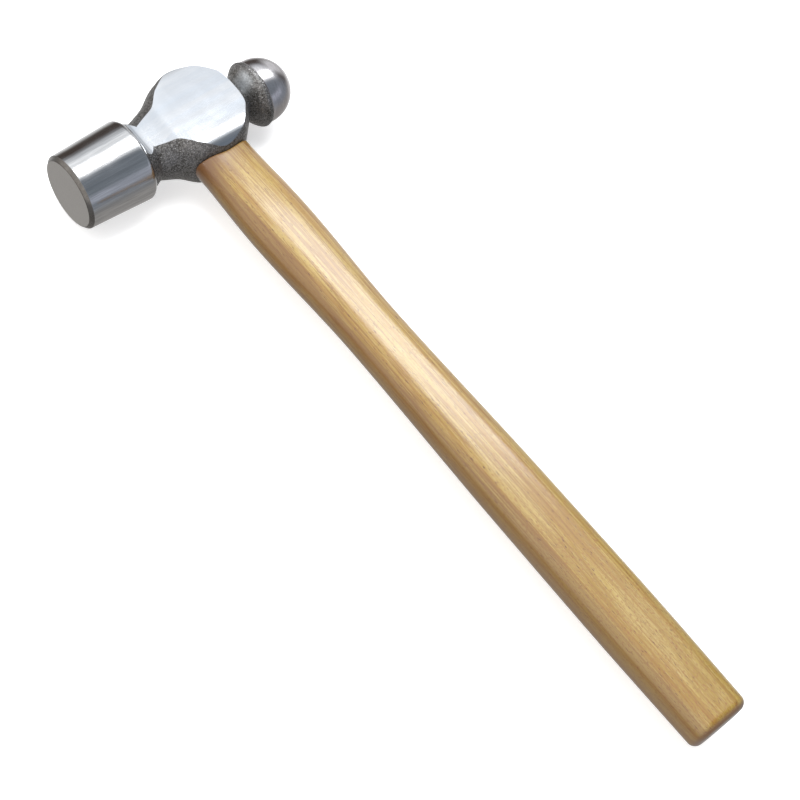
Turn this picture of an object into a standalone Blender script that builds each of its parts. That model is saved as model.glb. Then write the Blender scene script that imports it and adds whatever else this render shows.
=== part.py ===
"""Ball peen hammer of the 2 lb (32 oz) class, lying on its side with one cheek up.

Axes: +X is the striking face's normal, +Y runs down the handle to the butt and +Z is the upper
cheek's normal. Everything is modelled from the middle of the eye, where the head's axis crosses
the handle's axis. One empty carries all the pieces, so that the world origin is the middle of
the footprint on the surface that the hammer lies on.

Pieces: hammer_head, handle, wood_wedge, steel_wedge_1 and steel_wedge_2.
"""
import math

import bmesh
import bpy

MM = 0.001

# --- Poll: the round striking end -------------------------------------------------------------
FACE_X = 72.1 * MM            # striking face, from the middle of the eye
FACE_EDGE_R = 18.9 * MM       # where the side begins, behind the chamfer
FACE_CHAMFER = 1.8 * MM
RIM_X = 37.8 * MM             # widest place of the poll
RIM_R = 20.5 * MM
RIM_ROUND = 3.0 * MM          # rounded shoulder behind the widest place
RIM_ARC = math.radians(80)

# --- Forged body, between the poll and the ball ------------------------------------------------
# One row per station along the head's axis: place, how far the section's middle lies towards the
# handle, half height, half width before grinding, and squareness (2 is an ellipse, more is squarer).
POLL_NECK = (RIM_X - 8.9 * MM, 0.0 * MM, 15.2 * MM, 14.2 * MM, 2.0)
POLL_FLARE = (19.1 * MM, 0.2 * MM, 18.7 * MM, 17.4 * MM, 2.2)
EYE_SHOULDER = (9.8 * MM, 0.4 * MM, 23.7 * MM, 20.4 * MM, 3.0)
EYE_MIDDLE = (-0.5 * MM, 0.6 * MM, 25.8 * MM, 21.5 * MM, 4.0)
EYE_BACK = (-11.4 * MM, 0.5 * MM, 23.4 * MM, 21.3 * MM, 3.9)
BALL_SHOULDER = (-20.9 * MM, 0.2 * MM, 16.1 * MM, 19.4 * MM, 3.0)
BALL_FILLET = (-24.8 * MM, 0.0 * MM, 10.8 * MM, 11.6 * MM, 2.1)
BALL_NECK = (-27.5 * MM, 0.0 * MM, 9.6 * MM, 9.6 * MM, 2.0)

# --- Ball ---------------------------------------------------------------------------------------
BALL_X = -39.1 * MM
BALL_R = 16.3 * MM
BALL_EDGE_X = BALL_X + 2.8 * MM   # where the polished ball begins
BALL_EDGE_R = 16.6 * MM
BALL_TIP_R = 0.8 * MM         # small flat where the facets of the ball end
FLARE_X = BALL_X + 6.9 * MM   # steep back of the ball
FLARE_R = 15.3 * MM
FLARE_RIM_X = BALL_X + 4.2 * MM   # widest place of the ball end
FLARE_RIM_R = 17.0 * MM

# --- Ground cheeks and neck bands ---------------------------------------------------------------
CHEEK_Z = 16.8 * MM           # half width across the flat cheeks
CHEEK_FLAT_X = 6.2 * MM       # flat from here towards the ball
CHEEK_SLOPE = ((15.5 * MM, 16.1 * MM), (22.7 * MM, 14.2 * MM))
BAND_X = RIM_X - 9.4 * MM     # thinnest place of the ground neck band
BAND_Z = 12.8 * MM
BAND_FILLET = 4.3 * MM        # the band sweeps up behind the poll with this radius
CHEEK_ROLL_Y = 16.0 * MM      # the cheeks roll over towards the handle from here
CHEEK_ROLL_TOP_Y = 19.5 * MM  # and towards the top of the head from here
CHEEK_ROLL_R = 15.5 * MM
CHEEK_ROLL_ARC = math.radians(50)

# --- Eye ----------------------------------------------------------------------------------------
EYE_HALF_X = 13.4 * MM        # waist of the eye, half way through the head
EYE_HALF_Z = 9.5 * MM
EYE_FLARE = 1.1 * MM          # the eye opens by this much, all round, to both mouths

# --- Handle -------------------------------------------------------------------------------------
# One row per station along the handle: place, half width, half thickness and squareness.
BUTT_Y = 373.0 * MM
BUTT_ROUND = 4.1 * MM
SHOULDER = (31.0 * MM, EYE_HALF_X + EYE_FLARE + 0.5 * MM, EYE_HALF_Z + EYE_FLARE + 0.8 * MM, 2.2)
SWELL = (68.1 * MM, 16.2 * MM, 12.2 * MM, 2.2)
WAIST = (138.4 * MM, 14.0 * MM, 11.4 * MM, 2.3)
GRIP = (243.7 * MM, 15.3 * MM, 12.5 * MM, 2.55)
GRIP_END = (309.8 * MM, 15.4 * MM, 12.5 * MM, 2.75)
BUTT = (BUTT_Y - BUTT_ROUND, 14.8 * MM, 12.2 * MM, 2.75)

# --- Wedging ------------------------------------------------------------------------------------
FIT_GAP = 0.3 * MM            # between every two pieces that seat on each other
TENON_SINK = 1.9 * MM         # the end grain lies below the eye's rim by this much
WOOD_WEDGE_LENGTH = 30.0 * MM
WOOD_WEDGE_TOP = 4.2 * MM     # thickness at the end grain
WOOD_WEDGE_TIP = 1.2 * MM
STEEL_WEDGE_LENGTH = 19.0 * MM
STEEL_WEDGE_WALL = 0.6 * MM   # wood left between a wedge's pocket and the side of the tenon
STEEL_WEDGE_TOP = 2.8 * MM    # thickness at the driven end
STEEL_WEDGE_TIP = 1.0 * MM
STEEL_WEDGE_X = 6.6 * MM      # each side of the middle of the eye
STEEL_WEDGE_SINK = 0.4 * MM   # driven this far below the end grain
STEEL_WEDGE_BARBS = 4
STEEL_WEDGE_BARB = 0.25 * MM

# --- Facets -------------------------------------------------------------------------------------
HEAD_SIDES = 48
HANDLE_SIDES = 32
EYE_SIDES = 36
BODY_STEP = 2.2 * MM          # greatest spacing of the rings along the forged body
HANDLE_STEP = 12.0 * MM
ARC_STEPS = 4
BALL_STEPS = 10
REACH = 60.0 * MM             # cutters run out this far, past the head on every side
SMOOTH_ANGLE = math.radians(35)


def clear_scene():
    for obj in list(bpy.data.objects):
        bpy.data.objects.remove(obj, do_unlink=True)


# --- Curves and sections ------------------------------------------------------------------------

def smooth_rows(rows, step):
    """Rows no further apart than step, on a monotone cubic through the given rows."""
    slopes = []
    for i, row in enumerate(rows):
        slope = []
        for k in range(1, len(row)):
            sides = [(b[k] - a[k]) / (b[0] - a[0])
                     for a, b in zip(rows[max(i - 1, 0):i + 1], rows[max(i, 1):i + 2])]
            if len(sides) == 1:
                slope.append(sides[0])
            elif sides[0] * sides[1] > 0:
                slope.append(2 * sides[0] * sides[1] / (sides[0] + sides[1]))
            else:
                slope.append(0.0)
        slopes.append(slope)
    result = [rows[0]]
    for a, b, slope_a, slope_b in zip(rows, rows[1:], slopes, slopes[1:]):
        span = b[0] - a[0]
        count = max(1, math.ceil(abs(span) / step))
        for j in range(1, count + 1):
            t = j / count
            blend = t * t * (3 - 2 * t)
            row = [a[0] + span * t]
            for k in range(1, len(a)):
                bend = t * (1 - t) * span * ((1 - t) * slope_a[k - 1] - t * slope_b[k - 1])
                row.append(a[k] + (b[k] - a[k]) * blend + bend)
            result.append(tuple(row))
    return result


def superellipse(half_u, half_v, power, sides):
    points = []
    for i in range(sides):
        c, s = math.cos(2 * math.pi * i / sides), math.sin(2 * math.pi * i / sides)
        points.append((half_u * math.copysign(abs(c) ** (2 / power), c),
                       half_v * math.copysign(abs(s) ** (2 / power), s)))
    return points


def head_ring(x, middle_y, half_y, half_z, power=2.0):
    return [(x, middle_y + u, v) for u, v in superellipse(half_y, half_z, power, HEAD_SIDES)]


def handle_ring(y, half_x, half_z, power, sides):
    return [(u, y, v) for u, v in superellipse(half_x, half_z, power, sides)]


# --- Mesh tools ---------------------------------------------------------------------------------

def loft(name, rings):
    """A closed object through rings of points, with flat caps on both ends."""
    bm = bmesh.new()
    loops = [[bm.verts.new(point) for point in ring] for ring in rings]
    for a, b in zip(loops, loops[1:]):
        for i in range(len(a)):
            j = (i + 1) % len(a)
            bm.faces.new((a[i], a[j], b[j], b[i]))
    bm.faces.new(loops[0])
    bm.faces.new(loops[-1])
    bmesh.ops.recalc_face_normals(bm, faces=bm.faces)
    mesh = bpy.data.meshes.new(name)
    bm.to_mesh(mesh)
    bm.free()
    obj = bpy.data.objects.new(name, mesh)
    bpy.context.collection.objects.link(obj)
    return obj


def as_cutter(obj):
    obj.hide_render = True
    obj.display_type = 'WIRE'
    return obj


def boolean(obj, operation, other):
    modifier = obj.modifiers.new(other.name, 'BOOLEAN')
    modifier.operation = operation
    modifier.solver = 'EXACT'
    modifier.object = other


def principled(name, colour, roughness, metallic):
    material = bpy.data.materials.new(name)
    material.use_nodes = True
    shader = material.node_tree.nodes["Principled BSDF"]
    shader.inputs["Base Color"].default_value = (*colour, 1.0)
    shader.inputs["Roughness"].default_value = roughness
    shader.inputs["Metallic"].default_value = metallic
    return material


def finish(obj, material, carrier):
    obj.data.materials.append(material)
    obj.data.shade_smooth()
    obj.data.set_sharp_from_angle(angle=SMOOTH_ANGLE)
    obj.parent = carrier


# --- Head ---------------------------------------------------------------------------------------

def body_rows():
    """Stations of the forged body, from behind the poll to the ball's neck."""
    return smooth_rows([POLL_NECK, POLL_FLARE, EYE_SHOULDER, EYE_MIDDLE, EYE_BACK,
                        BALL_SHOULDER, BALL_FILLET, BALL_NECK], BODY_STEP)


def poll_rows():
    """Place and radius, from the striking face to behind the rounded shoulder."""
    rows = [(FACE_X, FACE_EDGE_R - FACE_CHAMFER), (FACE_X - FACE_CHAMFER, FACE_EDGE_R),
            (RIM_X, RIM_R)]
    for i in range(1, ARC_STEPS + 1):
        angle = RIM_ARC * i / ARC_STEPS
        rows.append((RIM_X - RIM_ROUND * math.sin(angle),
                     RIM_R - RIM_ROUND * (1 - math.cos(angle))))
    return rows


def ball_rows():
    """Place and radius, from the ball's neck to its tip."""
    rows = smooth_rows([(BALL_NECK[0], BALL_NECK[2]), (FLARE_X, FLARE_R), (FLARE_RIM_X, FLARE_RIM_R),
                        (BALL_EDGE_X, BALL_EDGE_R)], BODY_STEP)[1:]
    start = math.acos((BALL_EDGE_X - BALL_X) / BALL_R)
    for i in range(1, BALL_STEPS):
        angle = start + (math.pi - start) * i / BALL_STEPS
        rows.append((BALL_X + BALL_R * math.cos(angle), BALL_R * math.sin(angle)))
    rows.append((BALL_X - BALL_R, BALL_TIP_R))
    return rows


def head_blank(name, grow=0.0):
    """The forging before it is ground and before its eye is pierced, with grow added all round."""
    rings = [head_ring(x, 0.0, r + grow, r + grow) for x, r in poll_rows()]
    rings += [head_ring(x, middle, y + grow, z + grow, power)
              for x, middle, y, z, power in body_rows()]
    rings += [head_ring(x, 0.0, r + grow, r + grow) for x, r in ball_rows()]
    return loft(name, rings)


def ground_profile():
    """Place and half width of the ground surface along the head."""
    rows = smooth_rows([(CHEEK_FLAT_X, CHEEK_Z), *CHEEK_SLOPE, (BAND_X, BAND_Z)], BODY_STEP)
    rows = [(-2 * REACH, REACH), (BALL_NECK[0] - FIT_GAP, REACH), (BALL_NECK[0], CHEEK_Z), *rows]
    fillet_x = RIM_X - RIM_ROUND - BAND_FILLET
    for i in range(ARC_STEPS + 1):
        angle = math.pi / 2 * i / ARC_STEPS
        rows.append((fillet_x + BAND_FILLET * math.sin(angle),
                     BAND_Z + BAND_FILLET * (1 - math.cos(angle))))
    wall_x = rows[-1][0] + FIT_GAP
    return rows + [(wall_x, REACH), (2 * REACH, REACH)]


def ground_envelope():
    """Everything between the two ground cheeks, which roll over towards their long edges."""
    roll = []
    for i in range(ARC_STEPS + 1):
        angle = CHEEK_ROLL_ARC * i / ARC_STEPS
        roll.append((CHEEK_ROLL_R * math.sin(angle), CHEEK_ROLL_R * (1 - math.cos(angle))))
    roll.append((REACH, roll[-1][1]))
    across = [(-CHEEK_ROLL_TOP_Y - y, drop) for y, drop in reversed(roll)]
    across += [(0.0, 0.0)] + [(CHEEK_ROLL_Y + y, drop) for y, drop in roll]
    rings = []
    for x, half_z in ground_profile():
        ring = [(x, y, half_z - drop) for y, drop in across]
        rings.append(ring + [(x, y, -z) for x, y, z in reversed(ring)])
    return as_cutter(loft("ground_envelope", rings))


def eye_solid(name, shrink=0.0):
    """The eye's hourglass bore, or what fits into it when it is shrunk by a clearance."""
    mouth_y, mouth = EYE_MIDDLE[2], (EYE_HALF_X + EYE_FLARE, EYE_HALF_Z + EYE_FLARE)
    rows = smooth_rows([(-mouth_y, *mouth), (0.0, EYE_HALF_X, EYE_HALF_Z), (mouth_y, *mouth)],
                       HANDLE_STEP)
    rows = [(-REACH, *mouth), *rows, (REACH, *mouth)]
    return as_cutter(loft(name, [handle_ring(y, u - shrink, v - shrink, 2, EYE_SIDES)
                                 for y, u, v in rows]))


def hammer_head():
    head = head_blank("hammer_head")
    boolean(head, 'INTERSECT', ground_envelope())
    boolean(head, 'DIFFERENCE', eye_solid("eye_bore"))
    return head


# --- Handle -------------------------------------------------------------------------------------

def end_grain_y(x):
    """Where the tenon ends: it follows the arched top of the head, a little below it."""
    rows = body_rows()
    for a, b in zip(rows, rows[1:]):
        if a[0] >= x >= b[0]:
            share = (a[0] - x) / (a[0] - b[0])
            return (a[1] - a[2]) * (1 - share) + (b[1] - b[2]) * share + TENON_SINK
    raise ValueError("outside the forged body")


def end_grain_trim():
    """Everything past the end grain."""
    half = EYE_HALF_X + EYE_FLARE + FIT_GAP
    count = 2 * ARC_STEPS
    xs = [half - 2 * half * i / count for i in range(count + 1)]
    outline = [(x, end_grain_y(x)) for x in xs] + [(-half, -2 * REACH), (half, -2 * REACH)]
    rings = [[(x, y, z) for x, y in outline] for z in (-REACH, REACH)]
    return as_cutter(loft("end_grain_trim", rings))


def grip():
    rows = smooth_rows([SHOULDER, SWELL, WAIST, GRIP, GRIP_END, BUTT], HANDLE_STEP)
    rows.insert(0, (0.0, *SHOULDER[1:]))
    rings = [handle_ring(*row, HANDLE_SIDES) for row in rows]
    for i in range(1, ARC_STEPS + 1):
        angle = math.pi / 2 * i / ARC_STEPS
        inset = BUTT_ROUND * (1 - math.cos(angle))
        rings.append(handle_ring(BUTT[0] + BUTT_ROUND * math.sin(angle), BUTT[1] - inset,
                                 BUTT[2] - inset, BUTT[3], HANDLE_SIDES))
    return loft("handle", rings)


def tenon():
    """It fills the eye, less the clearance, and roots in the shoulder."""
    solid = eye_solid("tenon", FIT_GAP)
    root_y = SHOULDER[0] + EYE_HALF_X
    for vertex in solid.data.vertices:
        vertex.co.y = min(vertex.co.y, root_y)
    return solid


def handle(trim):
    wood = grip()
    boolean(wood, 'DIFFERENCE', as_cutter(head_blank("shoulder_seat", FIT_GAP)))
    boolean(wood, 'UNION', tenon())
    boolean(wood, 'DIFFERENCE', trim)
    return wood


# --- Wedges -------------------------------------------------------------------------------------

def taper(name, start, length, top, tip, side, grow=0.0):
    """A wedge driven down +Y from start. It tapers across Z, and its half width across X is side."""
    rings = []
    for depth in ((-REACH if grow else 0.0), length + grow):
        half = (top + (tip - top) * depth / length) / 2 + grow
        rings.append([(side + grow, start + depth, -half), (side + grow, start + depth, half),
                      (-side - grow, start + depth, half), (-side - grow, start + depth, -half)])
    return loft(name, rings)


def wood_wedge_solid(name, grow=0.0):
    side = REACH if grow else EYE_HALF_X - FIT_GAP
    return taper(name, end_grain_y(EYE_MIDDLE[0]), WOOD_WEDGE_LENGTH, WOOD_WEDGE_TOP,
                 WOOD_WEDGE_TIP, side, grow)


def steel_wedge_half(depth):
    return (STEEL_WEDGE_TOP + (STEEL_WEDGE_TIP - STEEL_WEDGE_TOP) * depth / STEEL_WEDGE_LENGTH) / 2


def steel_wedge_side():
    """Half width: the pocket leaves a wall to the narrowest place of the tenon beside it."""
    share = (STEEL_WEDGE_X + STEEL_WEDGE_TOP / 2) / EYE_HALF_X
    return EYE_HALF_Z * math.sqrt(1 - share ** 2) - STEEL_WEDGE_WALL - 2 * FIT_GAP


def steel_wedge(name, x):
    """A barbed wedge across the eye: its profile lies in XY and its width runs along Z."""
    start = end_grain_y(x) + STEEL_WEDGE_SINK
    side = [(steel_wedge_half(0.0), 0.0)]
    for i in range(1, STEEL_WEDGE_BARBS + 1):
        depth = STEEL_WEDGE_LENGTH * i / (STEEL_WEDGE_BARBS + 1)
        half = steel_wedge_half(depth)
        side += [(half - STEEL_WEDGE_BARB, depth - STEEL_WEDGE_BARB), (half, depth)]
    side.append((steel_wedge_half(STEEL_WEDGE_LENGTH), STEEL_WEDGE_LENGTH))
    outline = side + [(-half, depth) for half, depth in reversed(side)]
    rings = [[(x + u, start + depth, z) for u, depth in outline]
             for z in (-steel_wedge_side(), steel_wedge_side())]
    return loft(name, rings)


def steel_wedge_pocket(name, x):
    """The wedge's own taper and the clearance, open to the end grain."""
    start = end_grain_y(x) + STEEL_WEDGE_SINK
    side = steel_wedge_side() + FIT_GAP
    rings = []
    for depth, taper_depth in ((-REACH, 0.0), (0.0, 0.0),
                               (STEEL_WEDGE_LENGTH + FIT_GAP, STEEL_WEDGE_LENGTH)):
        half = steel_wedge_half(taper_depth) + FIT_GAP
        rings.append([(x + half, start + depth, -side), (x + half, start + depth, side),
                      (x - half, start + depth, side), (x - half, start + depth, -side)])
    return as_cutter(loft(name, rings))


# --- Assembly -----------------------------------------------------------------------------------

def main():
    clear_scene()
    head = hammer_head()
    trim = end_grain_trim()
    wood = handle(trim)
    boolean(wood, 'DIFFERENCE', as_cutter(wood_wedge_solid("kerf", FIT_GAP)))
    wedge = wood_wedge_solid("wood_wedge")
    boolean(wedge, 'DIFFERENCE', trim)
    steel_wedges = []
    for number, x in ((1, STEEL_WEDGE_X), (2, -STEEL_WEDGE_X)):
        pocket = steel_wedge_pocket(f"steel_wedge_pocket_{number}", x)
        boolean(wood, 'DIFFERENCE', pocket)
        boolean(wedge, 'DIFFERENCE', pocket)
        steel_wedges.append(steel_wedge(f"steel_wedge_{number}", x))

    carrier = bpy.data.objects.new("hammer_on_its_side", None)
    bpy.context.collection.objects.link(carrier)
    ball_end = BALL_X - BALL_R
    _, middle_y, half_y, half_z, power = EYE_MIDDLE
    rim_share = 1 - ((EYE_HALF_Z + EYE_FLARE) / half_z) ** power
    top = middle_y - half_y * rim_share ** (1 / power)
    widest = max(FACE_EDGE_R, RIM_R, FLARE_RIM_R, CHEEK_Z)
    carrier.location = (-(FACE_X + ball_end) / 2, -(BUTT_Y + top) / 2, widest)

    steel = principled("bare_steel", (0.55, 0.56, 0.58), 0.3, 1.0)
    ash = principled("lacquered_hardwood", (0.62, 0.42, 0.20), 0.35, 0.0)
    wedge_wood = principled("wedge_wood", (0.48, 0.30, 0.14), 0.6, 0.0)
    wedge_steel = principled("wedge_steel", (0.32, 0.31, 0.30), 0.5, 1.0)
    finish(head, steel, carrier)
    finish(wood, ash, carrier)
    finish(wedge, wedge_wood, carrier)
    for obj in steel_wedges:
        finish(obj, wedge_steel, carrier)
    for obj in bpy.data.objects:
        if obj.display_type == 'WIRE':
            obj.parent = carrier


main()
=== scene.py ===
"""Looks of the ball peen hammer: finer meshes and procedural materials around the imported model.

Every piece is modelled from the middle of the eye, like the CAD part: +X is the striking face's
normal, +Y runs down the handle and +Z is the upper cheek's normal.
"""

import math

import bmesh
import bpy
from mathutils import Matrix, Vector


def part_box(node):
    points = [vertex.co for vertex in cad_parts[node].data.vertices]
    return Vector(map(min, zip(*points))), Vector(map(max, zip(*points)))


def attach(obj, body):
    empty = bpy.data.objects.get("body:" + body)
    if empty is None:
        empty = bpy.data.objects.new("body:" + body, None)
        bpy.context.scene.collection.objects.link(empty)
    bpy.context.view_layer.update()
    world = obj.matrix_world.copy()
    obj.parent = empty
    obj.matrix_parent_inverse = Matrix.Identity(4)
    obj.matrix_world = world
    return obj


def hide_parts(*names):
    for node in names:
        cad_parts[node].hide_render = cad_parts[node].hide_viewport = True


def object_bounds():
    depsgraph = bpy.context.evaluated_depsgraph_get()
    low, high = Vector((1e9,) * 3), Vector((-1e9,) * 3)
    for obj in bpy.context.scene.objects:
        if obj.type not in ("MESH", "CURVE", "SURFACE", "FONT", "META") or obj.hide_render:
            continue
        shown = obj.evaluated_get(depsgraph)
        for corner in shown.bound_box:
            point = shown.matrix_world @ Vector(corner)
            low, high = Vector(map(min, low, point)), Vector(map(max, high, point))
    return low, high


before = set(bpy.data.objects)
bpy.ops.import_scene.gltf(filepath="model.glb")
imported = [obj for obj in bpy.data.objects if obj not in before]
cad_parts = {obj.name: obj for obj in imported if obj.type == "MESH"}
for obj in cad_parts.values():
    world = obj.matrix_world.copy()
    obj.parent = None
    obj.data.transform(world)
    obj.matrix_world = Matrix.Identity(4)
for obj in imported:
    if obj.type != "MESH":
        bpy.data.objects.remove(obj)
cad_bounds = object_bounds()

MM = 0.001

# --- Sizes, as in the CAD part (metres) ---------------------------------------------------------
FACE_X, FACE_EDGE_R, FACE_CHAMFER = 72.1 * MM, 18.9 * MM, 1.8 * MM
RIM_X, RIM_R, RIM_ROUND, RIM_ARC = 37.8 * MM, 20.5 * MM, 3.0 * MM, math.radians(80)
# The forged body between rim and ball: x, middle y, half y, half z and the section's power
BODY = [tuple(value * MM for value in row[:4]) + (row[4],) for row in (
    (28.9, 0.0, 15.2, 14.2, 2.0),
    (19.1, 0.2, 18.7, 17.4, 2.2),
    (9.8, 0.4, 23.7, 20.4, 3.0),
    (-0.5, 0.6, 25.8, 21.5, 4.0),
    (-11.4, 0.5, 23.4, 21.3, 3.9),
    (-20.9, 0.2, 16.1, 19.4, 3.0),
    (-24.8, 0.0, 10.8, 11.6, 2.1),
    (-27.5, 0.0, 9.6, 9.6, 2.0))]
EYE_MIDDLE = BODY[3]
BALL_X, BALL_R = -39.1 * MM, 16.3 * MM
BALL_BACK = [(x * MM, r * MM) for x, r in ((-27.5, 9.6), (-32.2, 15.3), (-34.9, 17.0), (-36.3, 16.6))]
CHEEK_Z, CHEEK_FLAT_X = 16.8 * MM, 6.2 * MM
CHEEK_SLOPE = ((15.5 * MM, 16.1 * MM), (22.7 * MM, 14.2 * MM))
BAND_X, BAND_Z, BAND_FILLET = 28.4 * MM, 12.8 * MM, 4.3 * MM
CHEEK_ROLL_Y, CHEEK_ROLL_TOP_Y = 16.0 * MM, 19.5 * MM
CHEEK_ROLL_R, CHEEK_ROLL_ARC = 15.5 * MM, math.radians(50)
EYE_HALF_X, EYE_HALF_Z, EYE_FLARE = 13.4 * MM, 9.5 * MM, 1.1 * MM
BUTT_Y, BUTT_ROUND = 373.0 * MM, 4.1 * MM
# The handle below its shoulder: y, half x, half z and the section's power
GRIP = [tuple(value * MM for value in row[:3]) + (row[3],) for row in (
    (31.0, 15.0, 11.4, 2.2),
    (68.1, 16.2, 12.2, 2.2),
    (138.4, 14.0, 11.4, 2.3),
    (243.7, 15.3, 12.5, 2.55),
    (309.8, 15.4, 12.5, 2.75),
    (368.9, 14.8, 12.2, 2.75))]
FIT_GAP, TENON_SINK = 0.3 * MM, 1.9 * MM
WOOD_WEDGE = (30.0 * MM, 4.2 * MM, 1.2 * MM)      # length, then thickness at the top and at the tip
STEEL_WEDGE = (19.0 * MM, 2.8 * MM, 1.0 * MM)
STEEL_WEDGE_WIDTH, STEEL_WEDGE_SINK = 12.8 * MM, 0.4 * MM
STEEL_WEDGE_X = 6.6 * MM            # the steel wedges stand this far either side of the eye's middle
WOOD_WEDGE_SHORT = 2.2 * MM         # the wood wedge ends this far inside the eye's mouth
REACH = 60.0 * MM                   # cutters run on this far, past the whole head

# --- Finer detail of the visible surfaces -------------------------------------------------------
CHAMFER_ROUND = 0.16 * MM                   # rounding of the chamfer's two edges
LIP_IN, LIP_DOWN = 0.55 * MM, 1.1 * MM      # rounding of the handle's shoulder
END_EDGE_DROP = 0.25 * MM                   # the end grain's edge lies this far below its flat
END_SHARE_X, END_SHARE_Z = 0.975, 0.965     # and the flat covers this share of the end
TENON_HIGH_Y, TENON_LOW_Y = -20 * MM, 14 * MM   # plain tenon rings between end grain and seat
SQUARE_TO_FACE = 0.95                       # a polygon this square to +X is on the striking face
POLL_END_X = RIM_X - RIM_ROUND * 0.97       # the ground poll ends within its rim's rounding

HEAD_SIDES, HANDLE_SIDES = 160, 96
BODY_STEP, POLL_STEP, HANDLE_STEP = 0.9 * MM, 6 * MM, 5.0 * MM
BORE_STEP, TENON_STEP = 2 * MM, 3 * MM
BALL_STEP = BODY_STEP * 0.6
# Material slots of the head and of the handle, in the order in which their materials are added
SCALE_SLOT, CHEEK_SLOT, POLL_SLOT, BALL_SLOT, FACE_SLOT, EYE_SLOT, EDGE_SLOT = range(7)
WOOD_SLOT, END_GRAIN_SLOT = range(2)

head_low, head_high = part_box("hammer_head")
EYE = Vector((head_high.x - FACE_X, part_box("handle")[1].y - BUTT_Y, (head_low.z + head_high.z) / 2))


# --- Curves and sections ------------------------------------------------------------------------

def smooth_rows(rows, step):
    """Rows no further apart than step, on a monotone cubic through the given rows."""
    slopes = []
    for i, row in enumerate(rows):
        slope = []
        for k in range(1, len(row)):
            sides = [(b[k] - a[k]) / (b[0] - a[0])
                     for a, b in zip(rows[max(i - 1, 0):i + 1], rows[max(i, 1):i + 2])]
            if len(sides) == 1:
                slope.append(sides[0])
            elif sides[0] * sides[1] > 0:
                slope.append(2 * sides[0] * sides[1] / (sides[0] + sides[1]))
            else:
                slope.append(0.0)
        slopes.append(slope)
    result = [rows[0]]
    for a, b, slope_a, slope_b in zip(rows, rows[1:], slopes, slopes[1:]):
        span = b[0] - a[0]
        count = max(1, math.ceil(abs(span) / step))
        for j in range(1, count + 1):
            t = j / count
            blend = t * t * (3 - 2 * t)
            row = [a[0] + span * t]
            for k in range(1, len(a)):
                bend = t * (1 - t) * span * ((1 - t) * slope_a[k - 1] - t * slope_b[k - 1])
                row.append(a[k] + (b[k] - a[k]) * blend + bend)
            result.append(tuple(row))
    return result


def superellipse(half_u, half_v, power, sides):
    """An oval of power 2, squarer as the power grows."""
    points = []
    for i in range(sides):
        c, s = math.cos(2 * math.pi * i / sides), math.sin(2 * math.pi * i / sides)
        points.append((half_u * math.copysign(abs(c) ** (2 / power), c),
                       half_v * math.copysign(abs(s) ** (2 / power), s)))
    return points


def head_ring(x, middle_y, half_y, half_z, power=2.0):
    return [(x, middle_y + u, v) for u, v in superellipse(half_y, half_z, power, HEAD_SIDES)]


def handle_ring(y, half_x, half_z, power=2.0):
    return [(u, y, v) for u, v in superellipse(half_x, half_z, power, HANDLE_SIDES)]


BODY_ROWS = smooth_rows(BODY, BODY_STEP)


# --- Mesh tools ---------------------------------------------------------------------------------

def new_object(name, bm):
    """A linked object at the eye, made from bm, which is freed."""
    bmesh.ops.recalc_face_normals(bm, faces=bm.faces)
    mesh = bpy.data.meshes.new(name)
    bm.to_mesh(mesh)
    bm.free()
    obj = bpy.data.objects.new(name, mesh)
    bpy.context.scene.collection.objects.link(obj)
    obj.location = EYE
    return obj


def loft(name, rings, slot=0, caps=True):
    """A skin through rings of equally many points, in one material slot."""
    bm = bmesh.new()
    loops = [[bm.verts.new(point) for point in ring] for ring in rings]
    for a, b in zip(loops, loops[1:]):
        for i in range(len(a)):
            j = (i + 1) % len(a)
            bm.faces.new((a[i], a[j], b[j], b[i]))
    if caps:
        bm.faces.new(loops[0])
        bm.faces.new(loops[-1])
    for face in bm.faces:
        face.material_index = slot
    return new_object(name, bm)


def carve(obj, *steps):
    """Applies booleans in turn and removes the cutters."""
    for operation, other in steps:
        modifier = obj.modifiers.new(other.name, 'BOOLEAN')
        modifier.operation = operation
        modifier.solver = 'EXACT'
        modifier.object = other
    bpy.context.view_layer.update()
    evaluated = obj.evaluated_get(bpy.context.evaluated_depsgraph_get())
    mesh = bpy.data.meshes.new_from_object(evaluated)
    obj.modifiers.clear()
    obj.data = mesh
    for _, other in steps:
        bpy.data.objects.remove(other, do_unlink=True)


def smooth(obj, angle, borders=False):
    """Smooth shading, sharp over the angle and, if asked, wherever the material changes."""
    mesh = obj.data
    mesh.shade_smooth()
    mesh.set_sharp_from_angle(angle=math.radians(angle))
    if borders:
        bm = bmesh.new()
        bm.from_mesh(mesh)
        for edge in bm.edges:
            if len({face.material_index for face in edge.link_faces}) > 1:
                edge.smooth = False
        bm.to_mesh(mesh)
        bm.free()


# --- Node helpers -------------------------------------------------------------------------------

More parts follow.
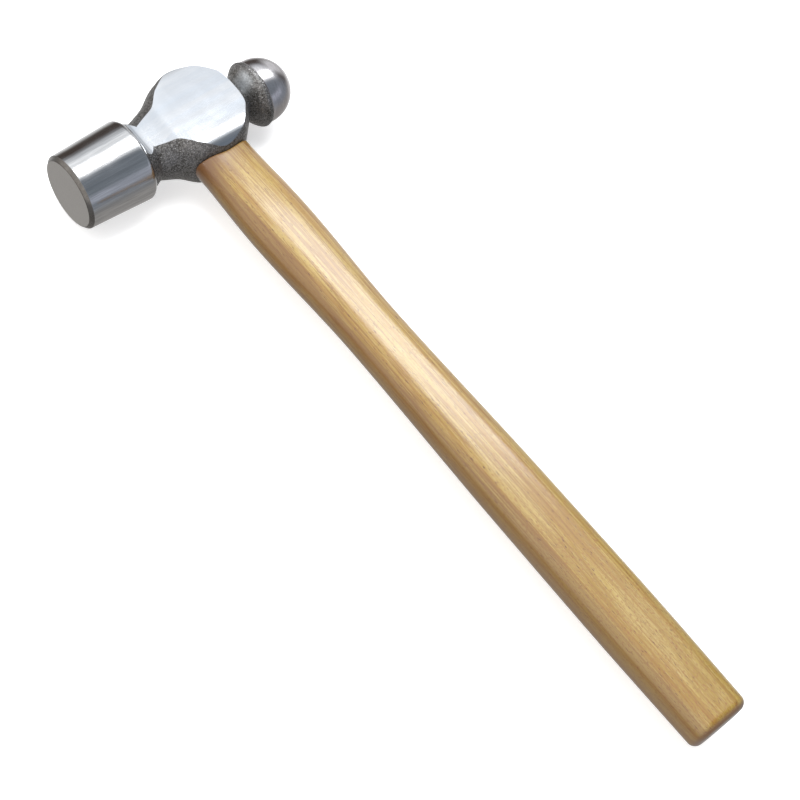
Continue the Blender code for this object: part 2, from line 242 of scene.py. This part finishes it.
class Nodes:
    """A small builder for a material's or the world's nodes."""

    def __init__(self, tree):
        self.tree = tree

    def add(self, kind, inputs=None, output=0, **settings):
        node = self.tree.nodes.new(kind)
        for key, value in settings.items():
            setattr(node, key, value)
        for key, value in (inputs or {}).items():
            self.put(node.inputs[key], value)
        return node.outputs[output]

    def put(self, socket, value):
        if isinstance(value, bpy.types.NodeSocket):
            self.tree.links.new(value, socket)
        else:
            socket.default_value = value

    def math(self, operation, a, b=0.0):
        return self.add("ShaderNodeMath", {0: a, 1: b}, operation=operation)

    def times(self, a, b):
        return self.math('MULTIPLY', a, b)

    def ramp(self, value, low, high, out_low=0.0, out_high=1.0):
        """A smooth step from out_low at low to out_high at high."""
        return self.add("ShaderNodeMapRange", {"Value": value, "From Min": low, "From Max": high,
                                               "To Min": out_low, "To Max": out_high},
                        interpolation_type='SMOOTHSTEP')

    def noise(self, vector, scale, detail=3.0, roughness=0.5):
        return self.add("ShaderNodeTexNoise", {"Vector": vector, "Scale": scale, "Detail": detail,
                                               "Roughness": roughness})

    def mix(self, factor, a, b):
        """Colour a where the factor is 0, b where it is 1."""
        node = self.tree.nodes.new("ShaderNodeMix")
        node.data_type = 'RGBA'
        factor_in, a_in, b_in, colour_out = 0, 6, 7, 2      # a mix node's sockets for colours
        for key, value in ((factor_in, factor), (a_in, a), (b_in, b)):
            self.put(node.inputs[key], value)
        return node.outputs[colour_out]

    def stretched(self, vector, scale):
        return self.add("ShaderNodeMapping", {"Vector": vector, "Scale": scale})

    def split(self, vector):
        return [self.add("ShaderNodeSeparateXYZ", {"Vector": vector}, output=i) for i in range(3)]

    def bump(self, height, strength, distance):
        return self.add("ShaderNodeBump", {"Strength": strength, "Distance": distance, "Height": height})


def start_material(name):
    """A material, its node builder, its shader and the place on the object in millimetres."""
    material = bpy.data.materials.new(name)
    material.use_nodes = True
    nodes = Nodes(material.node_tree)
    shader = material.node_tree.nodes["Principled BSDF"]
    place = nodes.add("ShaderNodeTexCoord", output="Object")
    mm = nodes.add("ShaderNodeVectorMath", {0: place, "Scale": 1 / MM}, operation='SCALE')
    return material, nodes, shader, mm


def rgb(r, g, b):
    return (r, g, b, 1.0)


# --- Steel --------------------------------------------------------------------------------------

def ground_steel(name, colour, dark, roughness, spread, stretch, bump=0.05):
    """Ground and polished steel: fine grinding lines along one direction, in colour and bump."""
    material, n, shader, mm = start_material(name)
    lines = n.noise(n.stretched(mm, stretch), 1.0, 6.0, 0.62)
    broad = n.noise(n.stretched(mm, tuple(value * 0.22 for value in stretch)), 1.0, 3.0, 0.5)
    clouds = n.noise(mm, 0.12, 3.0)
    tone = n.times(n.ramp(lines, 0.34, 0.62, 0.35, 1.0), n.ramp(broad, 0.32, 0.6, 0.35, 1.0))
    n.put(shader.inputs["Base Color"], n.mix(tone, dark, colour))
    rough = n.math('ADD', n.ramp(lines, 0.3, 0.7, roughness + spread, roughness),
                   n.ramp(clouds, 0.35, 0.7, 0.0, spread * 0.5))
    n.put(shader.inputs["Roughness"], rough)
    shader.inputs["Metallic"].default_value = 1.0
    height = n.math('ADD', n.times(lines, 0.6), n.times(broad, 1.4))
    n.put(shader.inputs["Normal"], n.bump(height, 0.5, bump * MM))
    return material


def forged_steel(name):
    """Dark forging scale: fine grain, light speckles where it is rubbed, a painted highlight on top of the
    neck, and an olive cast.
    """
    material, n, shader, mm = start_material(name)
    grain = n.noise(mm, 1.1, 5.0, 0.75)
    patches = n.noise(mm, 0.14, 4.0, 0.6)
    specks = n.noise(mm, 1.9, 3.0, 0.7)
    colour = n.mix(n.ramp(patches, 0.35, 0.68), rgb(0.060, 0.058, 0.052), rgb(0.135, 0.134, 0.137))
    colour = n.mix(n.ramp(grain, 0.44, 0.62), colour, rgb(0.24, 0.235, 0.23))
    colour = n.mix(n.ramp(specks, 0.56, 0.66), colour, rgb(0.50, 0.50, 0.51))
    # A painted highlight on top of the neck, where it widens into the ball: a lighter patch standing in for
    # the sky's reflection there
    x, y, z = n.split(mm)
    painted_neck_highlight = n.times(n.ramp(x, -26.5, -28.5), n.ramp(x, -34.0, -31.0))
    painted_neck_highlight = n.times(painted_neck_highlight, n.times(n.ramp(y, -9.0, -3.0), n.ramp(y, 6.0, 0.0)))
    painted_neck_highlight = n.times(n.times(painted_neck_highlight, n.ramp(z, 4.0, 9.0)), n.ramp(grain, 0.3, 0.6, 0.5, 1.0))
    colour = n.mix(painted_neck_highlight, colour, rgb(0.50, 0.53, 0.56))
    n.put(shader.inputs["Base Color"], colour)
    n.put(shader.inputs["Roughness"], n.ramp(grain, 0.3, 0.7, 0.52, 0.32))
    shader.inputs["Metallic"].default_value = 0.8
    height = n.math('ADD', grain, n.times(patches, 2.2))
    n.put(shader.inputs["Normal"], n.bump(height, 0.7, 0.35 * MM))
    return material


def face_steel(name):
    """The striking face: a satin grey turned face with faint rubbed clouds and tiny nicks."""
    material, n, shader, mm = start_material(name)
    fine = n.noise(n.stretched(mm, (1.0, 6.0, 0.5)), 1.0, 5.0, 0.65)
    clouds = n.noise(mm, 0.14, 3.0)
    nicks = n.noise(mm, 1.9, 2.0)
    colour = n.mix(n.ramp(fine, 0.3, 0.7), rgb(0.58, 0.575, 0.565), rgb(0.66, 0.655, 0.645))
    colour = n.mix(n.ramp(nicks, 0.66, 0.74, 0.0, 0.3), colour, rgb(0.38, 0.37, 0.36))
    n.put(shader.inputs["Base Color"], colour)
    n.put(shader.inputs["Roughness"], n.ramp(clouds, 0.3, 0.7, 0.40, 0.46))
    shader.inputs["Metallic"].default_value = 1.0
    n.put(shader.inputs["Normal"], n.bump(fine, 0.4, 0.03 * MM))
    return material


# --- Wood ---------------------------------------------------------------------------------------

def handle_wood(name):
    """Straight-grained pale hardwood under clear lacquer, with short dark pores along the grain."""
    material, n, shader, mm = start_material(name)
    # Growth layers are stacked mostly along x, and wander slowly along the handle
    drift = n.noise(n.stretched(mm, (0.05, 0.006, 0.05)), 1.0, 3.0, 0.5)
    x, y, z = n.split(mm)
    across = n.math('ADD', n.times(x, 0.34), n.times(z, 0.15))
    rings = n.math('ADD', across, n.times(drift, 7.0))
    layers = n.noise(n.add("ShaderNodeCombineXYZ", {"X": rings, "Y": n.times(y, 0.004),
                                                    "Z": n.times(z, 0.02)}), 1.0, 4.0, 0.6)
    clouds = n.noise(n.stretched(mm, (0.07, 0.02, 0.07)), 1.0, 3.0, 0.5)
    fibre = n.noise(n.stretched(mm, (2.4, 0.10, 2.4)), 1.0, 5.0, 0.65)
    pores = n.noise(n.stretched(mm, (2.8, 0.60, 2.8)), 1.0, 2.0, 0.5)
    dashes = n.noise(n.stretched(mm, (2.8, 0.32, 2.8)), 1.0, 2.0, 0.4)
    streaks = n.noise(n.stretched(mm, (0.34, 0.007, 0.34)), 1.0, 4.0, 0.65)
    lines = n.noise(n.stretched(mm, (1.3, 0.016, 1.3)), 1.0, 3.0, 0.6)
    colour = n.mix(n.ramp(layers, 0.38, 0.62), rgb(0.339, 0.201, 0.024), rgb(0.466, 0.329, 0.076))
    colour = n.mix(n.ramp(clouds, 0.42, 0.64, 0.0, 0.45), colour, rgb(0.483, 0.351, 0.13))
    colour = n.mix(n.ramp(fibre, 0.46, 0.66, 0.0, 0.45), colour, rgb(0.509, 0.384, 0.15))
    colour = n.mix(n.ramp(streaks, 0.50, 0.60, 0.0, 0.65), colour, rgb(0.314, 0.154, 0.017))
    # Dark lines are stronger toward the head, pores toward the butt
    line = n.times(n.ramp(lines, 0.50, 0.58), n.ramp(y, 190.0, 330.0, 0.65, 0.25))
    colour = n.mix(line, colour, rgb(0.22, 0.094, 0.014))
    pore = n.times(n.ramp(pores, 0.55, 0.63), n.ramp(y, 120.0, 290.0, 0.35, 0.7))
    colour = n.mix(pore, colour, rgb(0.3, 0.124, 0.031))
    colour = n.mix(n.ramp(dashes, 0.65, 0.71, 0.0, 0.9), colour, rgb(0.11, 0.0342, 0.013))
    # Painted shade: darker along the edge on the striking face's side, the side turned away from the key
    # light
    side = n.math('ADD', x, n.times(streaks, 6.0))
    colour = n.mix(n.ramp(side, 12.5, 15.5, 0.0, 0.6), colour, rgb(0.19, 0.09, 0.03))
    # Darker below the head, more so on that side, and darkest at the seat itself
    shoulder = n.math('ADD', y, n.times(fibre, 8.0))
    darker_below_head = n.times(n.ramp(shoulder, 50.0, 24.0), n.ramp(x, -6.0, 11.0, 0.45, 0.95))
    colour = n.mix(darker_below_head, colour, rgb(0.17, 0.075, 0.028))
    colour = n.mix(n.ramp(y, 23.5, 20.5, 0.0, 0.7), colour, rgb(0.25, 0.13, 0.085))
    # Darker on the butt's rounding and end
    end = (BUTT_Y - BUTT_ROUND * 0.35) / MM
    colour = n.mix(n.ramp(y, end - 1.6, end + 0.6, 0.0, 0.8), colour, rgb(0.20, 0.095, 0.04))
    n.put(shader.inputs["Base Color"], colour)
    n.put(shader.inputs["Roughness"], n.ramp(fibre, 0.3, 0.7, 0.42, 0.30))
    shader.inputs["Specular IOR Level"].default_value = 0.3
    shader.inputs["Coat Weight"].default_value = 1.0
    shader.inputs["Coat Roughness"].default_value = 0.19
    shader.inputs["Coat IOR"].default_value = 1.56
    height = n.math('SUBTRACT', n.times(fibre, 0.7), n.ramp(pores, 0.55, 0.7))
    bumped = n.bump(height, 0.35, 0.06 * MM)
    n.put(shader.inputs["Normal"], bumped)
    n.put(shader.inputs["Coat Normal"], bumped)
    return material


def end_grain(name, pale, dark, coat):
    """Sawn end grain: rows of open pores between darker growth rings."""
    material, n, shader, mm = start_material(name)
    drift = n.noise(n.stretched(mm, (0.1, 0.02, 0.1)), 1.0, 2.0)
    x, _, z = n.split(mm)
    rings = n.math('ADD', n.times(x, 0.9), n.times(z, 0.35))
    rings = n.math('SINE', n.math('ADD', n.times(rings, 2.2), n.times(drift, 9.0)))
    pores = n.noise(n.stretched(mm, (4.0, 0.3, 4.0)), 1.0, 2.0)
    colour = n.mix(n.ramp(rings, -1.0, 1.0), dark, pale)
    colour = n.mix(n.ramp(pores, 0.6, 0.7, 0.0, 0.8), colour, rgb(0.09, 0.05, 0.02))
    n.put(shader.inputs["Base Color"], colour)
    n.put(shader.inputs["Roughness"], n.ramp(pores, 0.3, 0.7, 0.55, 0.8))
    shader.inputs["Coat Weight"].default_value = coat
    n.put(shader.inputs["Normal"], n.bump(n.times(pores, -1.0), 0.5, 0.1 * MM))
    return material


# --- Head ---------------------------------------------------------------------------------------

def chamfer_rows():
    """The striking face's chamfer, with its two edges slightly rounded."""
    c, r, e = FACE_CHAMFER, FACE_EDGE_R, CHAMFER_ROUND
    slope = (RIM_R - r) / (FACE_X - c - RIM_X)
    return [(FACE_X, r - c - e), (FACE_X - e / 4, r - c - e / 4), (FACE_X - e, r - c + e),
            (FACE_X - c + e, r - e), (FACE_X - c, r - e / 4), (FACE_X - c - e, r + slope * e)]


def poll_rows():
    """The tapered poll from the face to its rounded rim."""
    rows = chamfer_rows()
    side = smooth_rows([rows[-1], (RIM_X, RIM_R)], POLL_STEP)
    rows += side[1:]
    steps = 14
    for i in range(1, steps + 1):
        angle = RIM_ARC * i / steps
        rows.append((RIM_X - RIM_ROUND * math.sin(angle), RIM_R - RIM_ROUND * (1 - math.cos(angle))))
    return rows


def ball_rows():
    """The ball, from the neck round to its tip."""
    rows = smooth_rows(BALL_BACK, BALL_STEP)[1:]
    start = math.acos((BALL_BACK[-1][0] - BALL_X) / BALL_R)
    steps = 40
    for i in range(1, steps):
        angle = start + (math.pi - start) * i / steps
        rows.append((BALL_X + BALL_R * math.cos(angle), BALL_R * math.sin(angle)))
    return rows


def ground_profile():
    """Half the height left by grinding the cheeks and the neck band, along the head."""
    rows = smooth_rows([(CHEEK_FLAT_X, CHEEK_Z), *CHEEK_SLOPE, (BAND_X, BAND_Z)], BODY_STEP)
    ball_x = BODY[-1][0]
    rows = [(-2 * REACH, REACH), (ball_x - FIT_GAP, REACH), (ball_x, CHEEK_Z), *rows]
    fillet_x = RIM_X - RIM_ROUND - BAND_FILLET
    steps = 12
    for i in range(steps + 1):
        angle = math.pi / 2 * i / steps
        rows.append((fillet_x + BAND_FILLET * math.sin(angle), BAND_Z + BAND_FILLET * (1 - math.cos(angle))))
    wall_x = rows[-1][0] + FIT_GAP
    return rows + [(wall_x, REACH), (2 * REACH, REACH)]


def ground_envelope():
    """The solid that grinding leaves, flat across the cheeks and rolled off toward their edges."""
    roll = []
    steps = 16
    for i in range(steps + 1):
        angle = CHEEK_ROLL_ARC * i / steps
        roll.append((CHEEK_ROLL_R * math.sin(angle), CHEEK_ROLL_R * (1 - math.cos(angle))))
    roll.append((REACH, roll[-1][1]))
    across = [(-CHEEK_ROLL_TOP_Y - y, drop) for y, drop in reversed(roll)]
    across += [(0.0, 0.0)] + [(CHEEK_ROLL_Y + y, drop) for y, drop in roll]
    rings = []
    for x, half_z in ground_profile():
        ring = [(x, y, half_z - drop) for y, drop in across]
        rings.append(ring + [(x, y, -z) for x, y, z in reversed(ring)])
    return loft("ground_envelope", rings, CHEEK_SLOT)


def eye_rows(step):
    """The eye's half sizes along y, wider at both mouths than in the middle."""
    mouth_y, mouth = EYE_MIDDLE[2], (EYE_HALF_X + EYE_FLARE, EYE_HALF_Z + EYE_FLARE)
    return smooth_rows([(-mouth_y, *mouth), (0.0, EYE_HALF_X, EYE_HALF_Z), (mouth_y, *mouth)], step)


def eye_bore():
    rows = eye_rows(BORE_STEP)
    rows = [(-REACH, *rows[0][1:]), *rows, (REACH, *rows[-1][1:])]
    return loft("eye_bore", [handle_ring(*row) for row in rows], EYE_SLOT)


def hammer_head():
    rings = [head_ring(x, 0.0, r, r) for x, r in poll_rows()]
    rings += [head_ring(*row) for row in BODY_ROWS]
    rings += [head_ring(x, 0.0, r, r) for x, r in ball_rows()]
    head = loft("head", rings, SCALE_SLOT)
    for material in (FORGED, CHEEK, POLL, BALL, FACE, FORGED_EYE, FACE_EDGE):
        head.data.materials.append(material)
    for face in head.data.polygons:
        x = face.center.x
        if x > FACE_X - FACE_CHAMFER:
            face.material_index = FACE_SLOT if face.normal.x > SQUARE_TO_FACE else EDGE_SLOT
        elif x > POLL_END_X:
            face.material_index = POLL_SLOT
        elif x < BALL_BACK[-1][0]:
            face.material_index = BALL_SLOT
    carve(head, ('INTERSECT', ground_envelope()), ('DIFFERENCE', eye_bore()))
    smooth(head, angle=28, borders=True)
    return head


# --- Handle -------------------------------------------------------------------------------------

def body_at(x):
    """The forged body's row at x: x, middle y, half y, half z and power."""
    for a, b in zip(BODY_ROWS, BODY_ROWS[1:]):
        if a[0] >= x >= b[0]:
            share = (a[0] - x) / (a[0] - b[0])
            return [p * (1 - share) + q * share for p, q in zip(a, b)]
    raise ValueError("outside the forged body")


def end_grain_y(x):
    """The handle's sawn end, arched like the head and a little below the eye's rim."""
    _, middle, half_y, _, _ = body_at(x)
    return middle - half_y + TENON_SINK


def seat_y(x, z):
    """The shoulder's seat, the fit gap below the head's arched underside."""
    _, middle, half_y, half_z, power = body_at(x)
    share = min(abs(z) / (half_z + FIT_GAP), 0.999)
    return middle + (half_y + FIT_GAP) * (1 - share ** power) ** (1 / power)


def tenon_rings():
    """The arched end grain with its softened edge, then the tenon down to the shoulder's seat."""
    rows = [(y, half_x - FIT_GAP, half_z - FIT_GAP) for y, half_x, half_z in eye_rows(TENON_STEP)]
    edge = [(x, end_grain_y(x) + END_EDGE_DROP, z) for x, _, z in handle_ring(*rows[0])]
    flat = [(x * END_SHARE_X, end_grain_y(x * END_SHARE_X), z * END_SHARE_Z) for x, _, z in edge]
    plain = [handle_ring(*row) for row in rows if TENON_HIGH_Y < row[0] < TENON_LOW_Y]
    seat = [(x, seat_y(x, z), z) for x, _, z in handle_ring(0, *rows[-1][1:])]
    return [flat, edge, *plain, seat]


def shoulder_rings():
    """The shoulder's rounded lip under the head, which runs on down to the grip's first section."""
    grip_y, half_x, half_z, power = GRIP[0]
    rings = []
    steps = 6
    for i in range(steps + 1):
        angle = math.pi / 2 * i / steps
        inset = LIP_IN * (1 - math.sin(angle))
        drop = LIP_DOWN * (1 - math.cos(angle))
        ring = handle_ring(0, half_x - inset, half_z - inset, power)
        rings.append([(x, seat_y(x, z) + drop, z) for x, _, z in ring])
    ring = handle_ring(0, half_x, half_z, power)
    for share in (0.25, 0.5, 0.75):
        rings.append([(x, (seat_y(x, z) + LIP_DOWN) * (1 - share) + grip_y * share, z)
                      for x, _, z in ring])
    return rings


def butt_rings():
    """The butt's rounding, below the grip's last section."""
    y, half_x, half_z, power = GRIP[-1]
    rings = []
    steps = 10
    for i in range(1, steps + 1):
        angle = math.pi / 2 * i / steps
        inset = BUTT_ROUND * (1 - math.cos(angle))
        rings.append(handle_ring(y + BUTT_ROUND * math.sin(angle), half_x - inset, half_z - inset, power))
    return rings


def close_end(bm, loop, slot):
    """Fills a ring with strips across it, which follow an arched end as one flat cap wouldn't."""
    count = len(loop)
    for i in range(count // 2):
        corners = [loop[i], loop[i + 1], loop[count - i - 1], loop[(count - i) % count]]
        face = bm.faces.new(list(dict.fromkeys(corners)))
        face.material_index = slot


def handle():
    rings = tenon_rings() + shoulder_rings()
    rings += [handle_ring(*row) for row in smooth_rows(GRIP, HANDLE_STEP)]
    rings += butt_rings()
    wood = loft("hardwood_handle", rings, caps=False)
    bm = bmesh.new()
    bm.from_mesh(wood.data)
    bm.verts.ensure_lookup_table()
    close_end(bm, bm.verts[:HANDLE_SIDES], END_GRAIN_SLOT)
    close_end(bm, bm.verts[-HANDLE_SIDES:], WOOD_SLOT)
    bmesh.ops.recalc_face_normals(bm, faces=bm.faces)
    bm.to_mesh(wood.data)
    bm.free()
    for material in (WOOD, END_GRAIN):
        wood.data.materials.append(material)
    return wood


def wedge_outline(length, top, tip):
    """Half the wedge's thickness, as a function of the depth below its top."""
    return lambda depth: (top + (tip - top) * depth / length) / 2


def wood_wedge(name, grow=0.0):
    """The wedge along the eye, or with grow the kerf for it, right across the tenon."""
    length, top, tip = WOOD_WEDGE
    start = end_grain_y(EYE_MIDDLE[0])
    side = REACH if grow else EYE_HALF_X + EYE_FLARE - WOOD_WEDGE_SHORT
    half = wedge_outline(length, top, tip)
    steps = 16
    rings = []
    for i in range(steps + 1):
        x = side * (2 * i / steps - 1)
        top_y = -REACH if grow else end_grain_y(x)
        w, tip_w = half(top_y - start) + grow, half(length + grow) + grow
        end_y = start + length + grow
        rings.append([(x, top_y, -w), (x, top_y, w), (x, end_y, tip_w), (x, end_y, -tip_w)])
    return loft(name, rings)


def steel_wedge(name, x, grow=0.0):
    """A steel wedge crosswise at x, or with grow the pocket for it."""
    length, top, tip = STEEL_WEDGE
    start = end_grain_y(x) + STEEL_WEDGE_SINK
    side = STEEL_WEDGE_WIDTH / 2 + grow
    half = wedge_outline(length, top, tip)
    depths = ((-REACH, 0.0), (0.0, 0.0), (length + grow, length)) if grow else ((0.0, 0.0), (length, length))
    rings = []
    for depth, at in depths:
        w = half(at) + grow
        rings.append([(x + w, start + depth, -side), (x + w, start + depth, side),
                      (x - w, start + depth, side), (x - w, start + depth, -side)])
    return loft(name, rings)


def pockets():
    """Cuts for both steel wedges."""
    return [('DIFFERENCE', steel_wedge(name, x, FIT_GAP))
            for name, x in (("pocket_1", STEEL_WEDGE_X), ("pocket_2", -STEEL_WEDGE_X))]


# --- Materials ----------------------------------------------------------------------------------

FORGED = forged_steel("forging_scale")
FORGED_EYE = forged_steel("eye_wall")
CHEEK = ground_steel("ground_cheek", rgb(0.55, 0.56, 0.573), rgb(0.425, 0.458, 0.50), 0.12, 0.05,
                     (0.02, 0.30, 0.30), 0.02)
POLL = ground_steel("ground_poll", rgb(0.58, 0.585, 0.59), rgb(0.40, 0.405, 0.41), 0.10, 0.10,
                    (0.010, 1.5, 1.5))
BALL = ground_steel("ground_ball", rgb(0.58, 0.57, 0.58), rgb(0.46, 0.44, 0.45), 0.14, 0.07,
                    (0.9, 0.3, 0.3), 0.015)
FACE_EDGE = ground_steel("face_chamfer", rgb(0.19, 0.185, 0.18), rgb(0.13, 0.125, 0.12), 0.24, 0.08,
                         (0.3, 1.5, 1.5), 0.03)
FACE = face_steel("satin_face")
WOOD = handle_wood("lacquered_hardwood")
END_GRAIN = end_grain("handle_end_grain", rgb(0.50, 0.34, 0.17), rgb(0.33, 0.20, 0.09), 0.2)
WEDGE_WOOD = end_grain("wedge_end_grain", rgb(0.30, 0.18, 0.08), rgb(0.20, 0.11, 0.05), 0.0)
WEDGE_STEEL = ground_steel("wedge_steel", rgb(0.42, 0.41, 0.40), rgb(0.22, 0.20, 0.19), 0.4, 0.15,
                           (1.0, 1.0, 0.1))

# --- Pieces -------------------------------------------------------------------------------------

head = hammer_head()
wood = handle()
carve(wood, ('DIFFERENCE', wood_wedge("kerf", FIT_GAP)), *pockets())
smooth(wood, angle=35)
wedge = wood_wedge("wood_wedge_visual")
carve(wedge, *pockets())
wedge.data.materials.append(WEDGE_WOOD)
steel_1 = steel_wedge("steel_wedge_visual_1", STEEL_WEDGE_X)
steel_2 = steel_wedge("steel_wedge_visual_2", -STEEL_WEDGE_X)
for steel in (steel_1, steel_2):
    steel.data.materials.append(WEDGE_STEEL)
for obj, node, slot in ((head, "hammer_head", "head_steel"), (wood, "handle", "handle_wood"),
                        (wedge, "wood_wedge", "wedge_wood"), (steel_1, "steel_wedge_1", "wedge_steel"),
                        (steel_2, "steel_wedge_2", "wedge_steel")):
    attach(obj, "root")
    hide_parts(node)

# --- Stage --------------------------------------------------------------------------------------

FLOOR_HALF = 30.0
FLOOR_GLOW = 0.50


def pale_floor():
    bm = bmesh.new()
    bmesh.ops.create_grid(bm, x_segments=1, y_segments=1, size=FLOOR_HALF)
    floor = new_object("floor", bm)
    floor.location = (0.0, 0.0, cad_bounds[0][2])
    floor.visible_glossy = False
    floor.visible_diffuse = False
    paper, n, shader, mm = start_material("pale_floor")
    n.put(shader.inputs["Base Color"], n.mix(n.ramp(n.noise(mm, 0.01), 0.3, 0.7), rgb(0.9, 0.9, 0.9),
                                             rgb(0.92, 0.92, 0.92)))
    shader.inputs["Roughness"].default_value = 0.9
    shader.inputs["Emission Color"].default_value = rgb(1.0, 1.0, 1.0)
    shader.inputs["Emission Strength"].default_value = FLOOR_GLOW
    floor.data.materials.append(paper)


def soft_studio():
    """The room's light by direction: x, y and z run from -1 to 1, along the hammer's own axes."""
    world = bpy.data.worlds.new("soft_studio")
    bpy.context.scene.world = world
    world.use_nodes = True
    n = Nodes(world.node_tree)
    x, y, z = n.split(n.add("ShaderNodeTexCoord", output="Generated"))
    # The key light fills the sky over the head's end of the hammer, and comes down low past the ball
    toward_key = n.ramp(y, 0.30, 0.0)
    high = n.ramp(z, 0.20, 0.90)
    low_key = n.times(n.ramp(x, -0.55, -0.85), n.ramp(z, -0.40, -0.05))
    low_key = n.times(low_key, n.ramp(y, 0.0, -0.35))
    key = n.times(toward_key, n.math('MAXIMUM', high, n.times(low_key, 0.65)))
    key = n.times(key, n.ramp(x, 0.80, 0.20, 0.75, 1.0))
    # Walls: dark and warm past the head, dim and cool past the butt, light before the striking face
    walls = n.mix(n.ramp(y, -0.2, 0.5), rgb(0.10, 0.08, 0.07), rgb(0.33, 0.36, 0.41))
    walls = n.mix(n.ramp(z, 0.25, 0.6), walls, rgb(0.25, 0.28, 0.32))
    before_face = n.times(n.ramp(x, 0.1, 0.6), n.ramp(z, -0.35, 0.0))
    walls = n.mix(before_face, walls, rgb(1.35, 1.28, 1.2))
    band = n.times(n.ramp(z, -0.02, 0.12), n.ramp(z, 0.44, 0.30))
    walls = n.mix(n.times(band, n.ramp(y, 0.4, 0.75)), walls, rgb(0.54, 0.57, 0.66))
    # The ground is lightest past the head, on the ball's side
    facing = n.math('ADD', n.times(y, -0.8), n.times(x, -0.6))
    ground = n.mix(n.ramp(facing, 0.2, 0.75), rgb(0.42, 0.405, 0.39), rgb(1.15, 1.15, 1.15))
    light = n.mix(n.ramp(z, -0.62, -0.08), ground, walls)
    light = n.mix(key, light, rgb(1.50, 1.52, 1.55))
    camera_ray = n.add("ShaderNodeLightPath", output="Is Camera Ray")
    background = world.node_tree.nodes["Background"]
    n.put(background.inputs["Color"], n.mix(camera_ray, light, rgb(0.97, 0.97, 0.97)))


# Metres from the eye, metres across, and the lamp's brightness
SOFTBOX_FROM_EYE, SOFTBOX_SIZE, SOFTBOX_RADIANCE = (-0.42, -0.128, 0.70), (0.96, 0.315), 6.5


def softbox():
    """A broad lamp above the ball's side, which the cheek and the lacquer mirror."""
    light = bpy.data.lights.new("softbox", 'AREA')
    light.shape = 'RECTANGLE'
    light.size, light.size_y = SOFTBOX_SIZE
    light.energy = SOFTBOX_RADIANCE * math.pi * SOFTBOX_SIZE[0] * SOFTBOX_SIZE[1]
    lamp = bpy.data.objects.new("softbox", light)
    lamp.location = EYE + Vector(SOFTBOX_FROM_EYE)
    lamp.visible_camera = False
    bpy.context.collection.objects.link(lamp)


pale_floor()
soft_studio()
softbox()

# --- Camera -------------------------------------------------------------------------------------

CAMERA_FROM_EYE = Vector((0.3496, 0.3990, 0.7036))
AZIMUTH, ELEVATION, ROLL = math.radians(56.14), math.radians(60.04), math.radians(-18.76)
LENS_MM, SENSOR_MM, FAR = 81.0, 36.0, 100.0

back = Vector((math.sin(AZIMUTH) * math.cos(ELEVATION), math.cos(AZIMUTH) * math.cos(ELEVATION),
               math.sin(ELEVATION)))
level = Vector((-math.cos(AZIMUTH), math.sin(AZIMUTH), 0.0))
upright = back.cross(level)
right = level * math.cos(ROLL) - upright * math.sin(ROLL)
up = level * math.sin(ROLL) + upright * math.cos(ROLL)
camera = bpy.data.objects.new("camera", bpy.data.cameras.new("camera"))
bpy.context.scene.collection.objects.link(camera)
camera.data.lens = LENS_MM
camera.data.sensor_width = SENSOR_MM
camera.data.clip_end = FAR
camera.matrix_world = Matrix.Translation(EYE + CAMERA_FROM_EYE) @ Matrix(
    (right, up, back)).transposed().to_4x4()
bpy.context.scene.camera = camera
bpy.context.scene.view_settings.view_transform = 'Standard'

bpy.context.view_layer.update()
